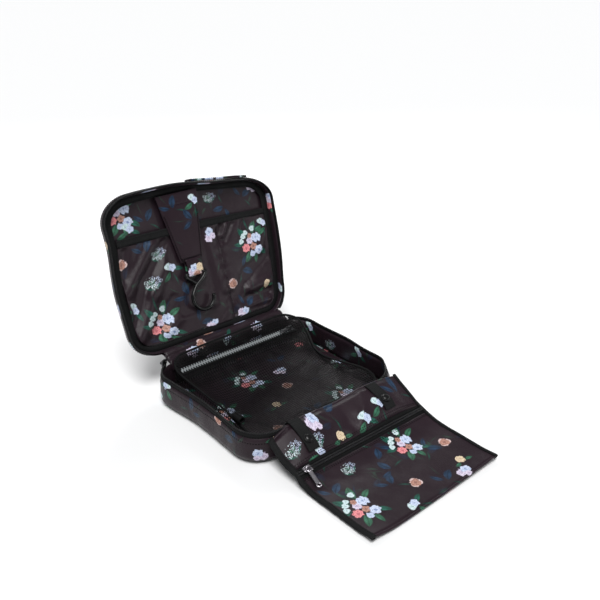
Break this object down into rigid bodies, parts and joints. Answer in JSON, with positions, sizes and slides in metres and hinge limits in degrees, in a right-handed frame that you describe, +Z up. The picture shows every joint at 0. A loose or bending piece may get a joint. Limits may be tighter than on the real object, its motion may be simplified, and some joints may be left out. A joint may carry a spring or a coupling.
{
  "type": "hanging toiletry bag",
  "caption": "Soft folding toiletry bag of two zipped trays, with a mesh compartment, lid pockets, a zip pouch held by two press studs, and a folding hook for hanging.",
  "frame": {"origin": "centre of the base tray's underside", "axes": "+Z up, +Y from the pouch towards the spine and the lid, +X to the right"},
  "size_m": [0.24, 0.4569, 0.245],
  "materials": {
    "floral_fabric": "smooth satin woven polyester with a scattered flower print",
    "black_tape": "matt woven tape and grosgrain",
    "black_coil": "nylon zip coil",
    "black_mesh": "open knitted mesh",
    "silver_coil": "nylon zip coil",
    "black_plastic": "moulded, glossy",
    "black_metal": "black lacquer",
    "silver_metal": "polished die-cast",
    "stiffener": "plain board, hidden"
  },
  "bodies": {
    "base": {"base_outer_panel": "floral_fabric", "base_board": "stiffener", "base_lining": "floral_fabric", "base_gusset": "floral_fabric", "base_lining_wall": "floral_fabric", "base_zip_tape": "black_tape", "base_zip_coil": "black_coil", "base_spine": "floral_fabric", "spine_fold": "floral_fabric", "mesh_cover": "black_mesh", "mesh_binding": "black_tape", "mesh_zip_tape": "black_tape", "mesh_zip_coil": "silver_coil", "tab_root_left": "black_tape", "tab_root_right": "black_tape"},
    "lid": {"lid_outer_panel": "floral_fabric", "lid_board": "stiffener", "lid_lining": "floral_fabric", "lid_gusset": "floral_fabric", "lid_lining_wall": "floral_fabric", "lid_zip_tape": "black_tape", "lid_zip_coil": "black_coil", "lid_spine": "floral_fabric", "lid_lining_frame": "black_tape", "lid_pocket": "floral_fabric", "lid_pocket_elastic": "black_tape", "lid_pocket_divider": "floral_fabric", "handle": "floral_fabric", "handle_patch_left": "floral_fabric", "handle_patch_right": "floral_fabric"},
    "strap_root": {"strap_root": "floral_fabric"},
    "hook_strap": {"hook_strap": "floral_fabric", "hook_loop": "floral_fabric"},
    "hook": {"hook": "black_plastic"},
    "pouch": {"pouch_back": "floral_fabric", "pouch_front_upper": "floral_fabric", "pouch_front_lower": "floral_fabric", "pouch_zip_tape": "black_tape", "pouch_zip_coil": "black_coil", "pouch_top_edge": "floral_fabric", "pouch_bottom_edge": "floral_fabric", "pouch_binding_left": "black_tape", "pouch_binding_right": "black_tape", "snap_socket_left": "black_plastic", "snap_socket_right": "black_plastic"},
    "tab_left": {"tab_strap_left": "black_tape", "snap_cap_left": "black_plastic"},
    "tab_right": {"tab_strap_right": "black_tape", "snap_cap_right": "black_plastic"},
    "pouch_slider": {"pouch_slider": "silver_metal"},
    "pouch_pull": {"pouch_pull": "silver_metal"},
    "mesh_slider": {"mesh_slider": "black_metal"},
    "mesh_pull": {"mesh_pull": "black_metal"},
    "main_slider_left": {"main_slider_left": "black_metal"},
    "main_pull_left": {"main_pull_left": "black_metal"},
    "main_slider_right": {"main_slider_right": "black_metal"},
    "main_pull_right": {"main_pull_right": "black_metal"}
  },
  "joints": [
    {"name": "lid_hinge", "type": "hinge", "parent": "base", "child": "lid", "pos_m": [0, 0.1075, 0.0414], "axis": [-1, 0, 0], "range_deg": [-108.2, 71]},
    {"name": "pouch_fold", "type": "hinge", "parent": "base", "child": "pouch", "pos_m": [0, -0.106, 0.044], "axis": [1, 0, 0], "range_deg": [-195.5, 41]},
    {"name": "strap_root_fold", "type": "hinge", "parent": "lid", "child": "strap_root", "pos_m": [-0.0195, 0.18237, 0.22291], "axis": [-1, 0, 0], "range_deg": [0, 90]},
    {"name": "strap_rim_fold", "type": "hinge", "parent": "strap_root", "child": "hook_strap", "pos_m": [-0.0195, 0.17739, 0.20845], "axis": [-1, 0, 0], "range_deg": [0, 90]},
    {"name": "hook_swing", "type": "hinge", "parent": "hook_strap", "child": "hook", "pos_m": [-0.0195, 0.14646, 0.12476], "axis": [-1, 0, 0], "range_deg": [0, 95]},
    {"name": "tab_unsnap_left", "type": "hinge", "parent": "pouch", "child": "tab_left", "pos_m": [-0.068, -0.106, 0.044], "axis": [-1, 0, 0], "range_deg": [0, 120]},
    {"name": "tab_unsnap_right", "type": "hinge", "parent": "pouch", "child": "tab_right", "pos_m": [0.054, -0.106, 0.044], "axis": [-1, 0, 0], "range_deg": [0, 120]},
    {"name": "pouch_zip", "type": "slide", "parent": "pouch", "child": "pouch_slider", "axis": [1, 0, 0], "range_m": [0, 0.173]},
    {"name": "pouch_pull_swivel", "type": "hinge", "parent": "pouch_slider", "child": "pouch_pull", "pos_m": [-0.0865, -0.15087, 0.03298], "axis": [0, -0.2385, 0.9711], "range_deg": [-60, 75]},
    {"name": "mesh_zip", "type": "slide", "parent": "base", "child": "mesh_slider", "axis": [-1, 0, 0], "range_m": [0, 0.158]},
    {"name": "mesh_pull_swivel", "type": "hinge", "parent": "mesh_slider", "child": "mesh_pull", "pos_m": [0.074, 0.0695, 0.04008], "axis": [0, -0.2137, 0.9769], "range_deg": [-60, 100]},
    {"name": "main_zip_corner_left", "type": "hinge", "parent": "base", "child": "main_slider_left", "pos_m": [-0.085, 0.0675, 0.0419], "axis": [0, 0, 1], "range_deg": [0, 60]},
    {"name": "main_pull_swivel_left", "type": "hinge", "parent": "main_slider_left", "child": "main_pull_left", "pos_m": [-0.085, 0.0675, 0.0419], "axis": [-0.5, 0.866, 0], "range_deg": [-75, 75]},
    {"name": "main_zip_corner_right", "type": "hinge", "parent": "base", "child": "main_slider_right", "pos_m": [0.085, 0.0675, 0.0419], "axis": [0, 0, -1], "range_deg": [0, 60]},
    {"name": "main_pull_swivel_right", "type": "hinge", "parent": "main_slider_right", "child": "main_pull_right", "pos_m": [0.085, 0.0675, 0.0419], "axis": [0.5, 0.866, 0], "range_deg": [-75, 75]}
  ],
  "couplings": [
    {"joint": "strap_root_fold", "follows": "strap_rim_fold", "ratio": 1}
  ]
}
